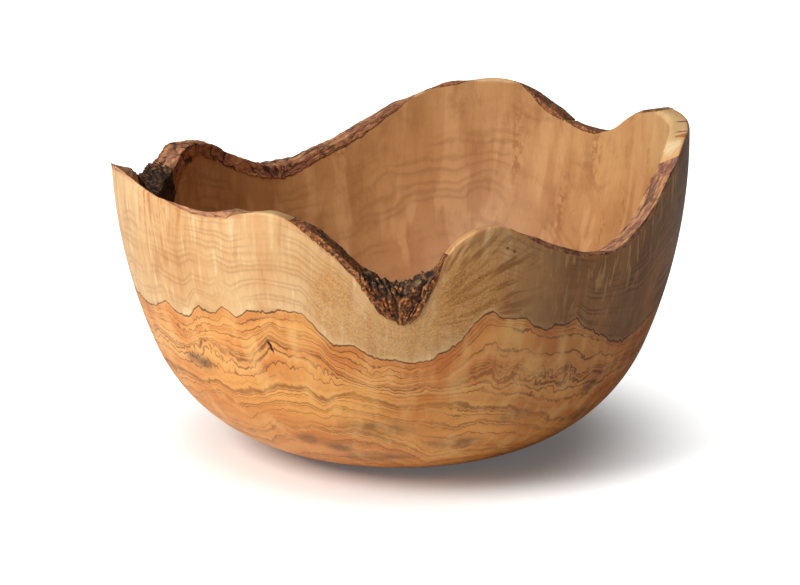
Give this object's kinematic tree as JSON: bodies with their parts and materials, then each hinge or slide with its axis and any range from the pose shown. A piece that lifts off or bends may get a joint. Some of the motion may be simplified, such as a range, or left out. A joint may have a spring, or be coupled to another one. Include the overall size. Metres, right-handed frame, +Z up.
{
  "type": "yarn bowl",
  "caption": "Turned natural-edge wooden bowl with an undulating rim, remnants of bark on the edge, and a deep front notch that lets yarn run out.",
  "frame": {"origin": "centre of the flat foot the bowl rests on, on the turning axis", "axes": "+Z up along the turning axis; -Y towards the deep front notch; +X to the right as seen from the front notch"},
  "size_m": [0.2836, 0.2815, 0.162],
  "materials": {
    "olive_wood": "oiled satin",
    "bark": "rough, dry"
  },
  "bodies": {
    "root": {"bowl_body": "olive_wood", "front_notch_bark": "bark", "front_slope_bark": "bark", "left_rim_bark": "bark", "left_tip_bark": "bark", "left_notch_bark": "bark", "back_left_bark": "bark", "back_rim_bark": "bark", "back_crest_bark": "bark", "back_right_bark": "bark", "back_dip_bark": "bark", "right_crest_bark": "bark", "right_rim_bark": "bark", "front_right_bark": "bark"}
  },
  "joints": []
}
